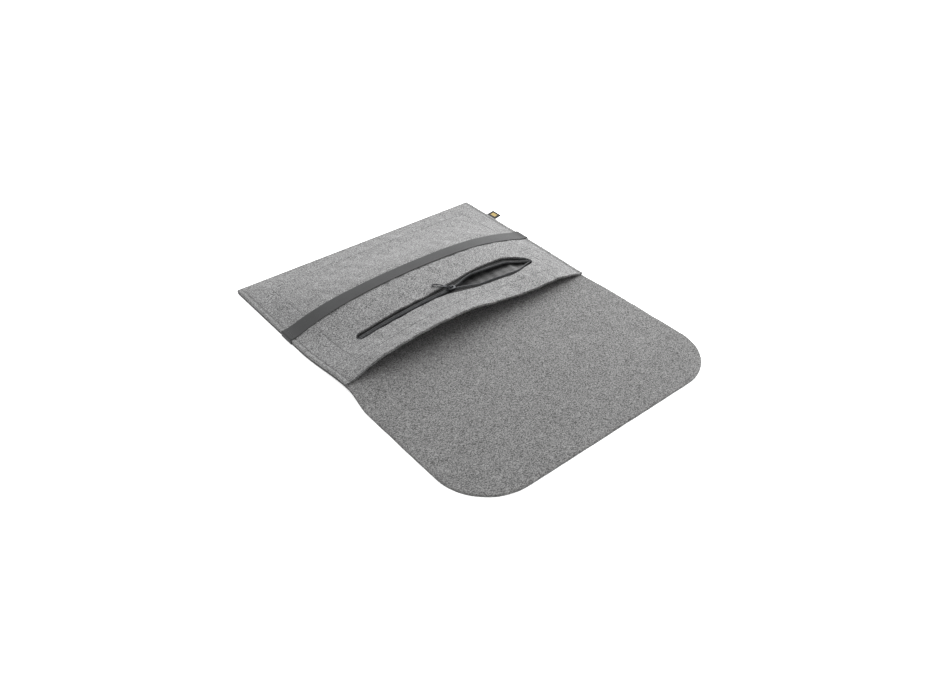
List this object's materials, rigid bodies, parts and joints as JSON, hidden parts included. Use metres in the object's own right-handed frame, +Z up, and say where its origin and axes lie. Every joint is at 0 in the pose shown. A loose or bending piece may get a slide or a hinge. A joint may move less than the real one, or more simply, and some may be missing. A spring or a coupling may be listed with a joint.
{
  "type": "laptop sleeve",
  "caption": "Felt laptop sleeve with a fold-over flap tucked under an elastic strap, a zip pocket on its front and a woven side tag.",
  "frame": {"origin": "middle of the back panel's underside, on the surface that the sleeve lies on", "axes": "+X across the sleeve to the side with the tag, -Y out of the mouth to the open flap, +Z up"},
  "size_m": [0.3709, 0.448, 0.0345],
  "materials": {
    "felt": "pressed grey melange felt",
    "lining": "thin dark plain weave",
    "thread": "twisted polyester sewing thread",
    "zip_tape": "dark herringbone tape",
    "zip_coil": "dark nylon coil",
    "gunmetal": "satin gunmetal",
    "elastic": "finely ribbed dark grey elastic",
    "woven_label": "black woven tag with a plain gold band"
  },
  "bodies": {
    "sleeve": {"back_panel": "felt", "end_fold": "felt", "front_panel": "felt", "pocket_lining": "lining", "side_seam_thread_left": "thread", "side_seam_thread_right": "thread", "pocket_seam_thread": "thread", "zip_bottom_stop": "gunmetal", "zip_top_stop_upper": "gunmetal", "zip_top_stop_lower": "gunmetal", "strap_end_left": "elastic", "strap_end_right": "elastic", "label_tag": "woven_label"},
    "flap_spine": {"flap_spine": "felt"},
    "flap": {"flap": "felt"},
    "strap": {"strap_band": "elastic"},
    "zip_upper_side": {"zip_tape_upper": "zip_tape", "zip_coil_upper": "zip_coil"},
    "zip_lower_side": {"zip_tape_lower": "zip_tape", "zip_coil_lower": "zip_coil"},
    "slider": {"zip_slider": "gunmetal"},
    "puller": {"zip_puller": "gunmetal"}
  },
  "joints": [
    {"name": "flap_lower_fold", "type": "hinge", "parent": "sleeve", "child": "flap_spine", "pos_m": [0, -0.118, 0.003], "axis": [-1, 0, 0], "range_deg": [0, 90]},
    {"name": "flap_upper_fold", "type": "hinge", "parent": "flap_spine", "child": "flap", "pos_m": [0, -0.151, 0.003], "axis": [-1, 0, 0], "range_deg": [0, 91.5]},
    {"name": "strap_lift", "type": "slide", "parent": "sleeve", "child": "strap", "axis": [0, 0, 1], "range_m": [0, 0.03], "stiffness_N_per_m": 80},
    {"name": "slider_travel", "type": "hinge", "parent": "sleeve", "child": "slider", "pos_m": [0.0055, -0.061, -0.68959], "axis": [0, 1, 0], "range_deg": [-9.65, 9.45]},
    {"name": "zip_upper_side_close", "type": "slide", "parent": "sleeve", "child": "zip_upper_side", "axis": [0, -1, 0], "range_m": [-0.0108, 0.0106], "deforming": ["zip_tape_upper", "zip_coil_upper"]},
    {"name": "zip_lower_side_close", "type": "slide", "parent": "sleeve", "child": "zip_lower_side", "axis": [0, 1, 0], "range_m": [-0.0108, 0.0106], "deforming": ["zip_tape_lower", "zip_coil_lower"]},
    {"name": "puller_swing", "type": "hinge", "parent": "slider", "child": "puller", "pos_m": [0.007, -0.061, 0.02775], "axis": [0, 1, 0], "range_deg": [0, 174]}
  ],
  "couplings": [
    {"joint": "flap_upper_fold", "follows": "flap_lower_fold", "ratio": 1.0167},
    {"joint": "zip_upper_side_close", "follows": "slider_travel", "m_per_rad": 0.063662},
    {"joint": "zip_lower_side_close", "follows": "slider_travel", "m_per_rad": 0.063662}
  ]
}
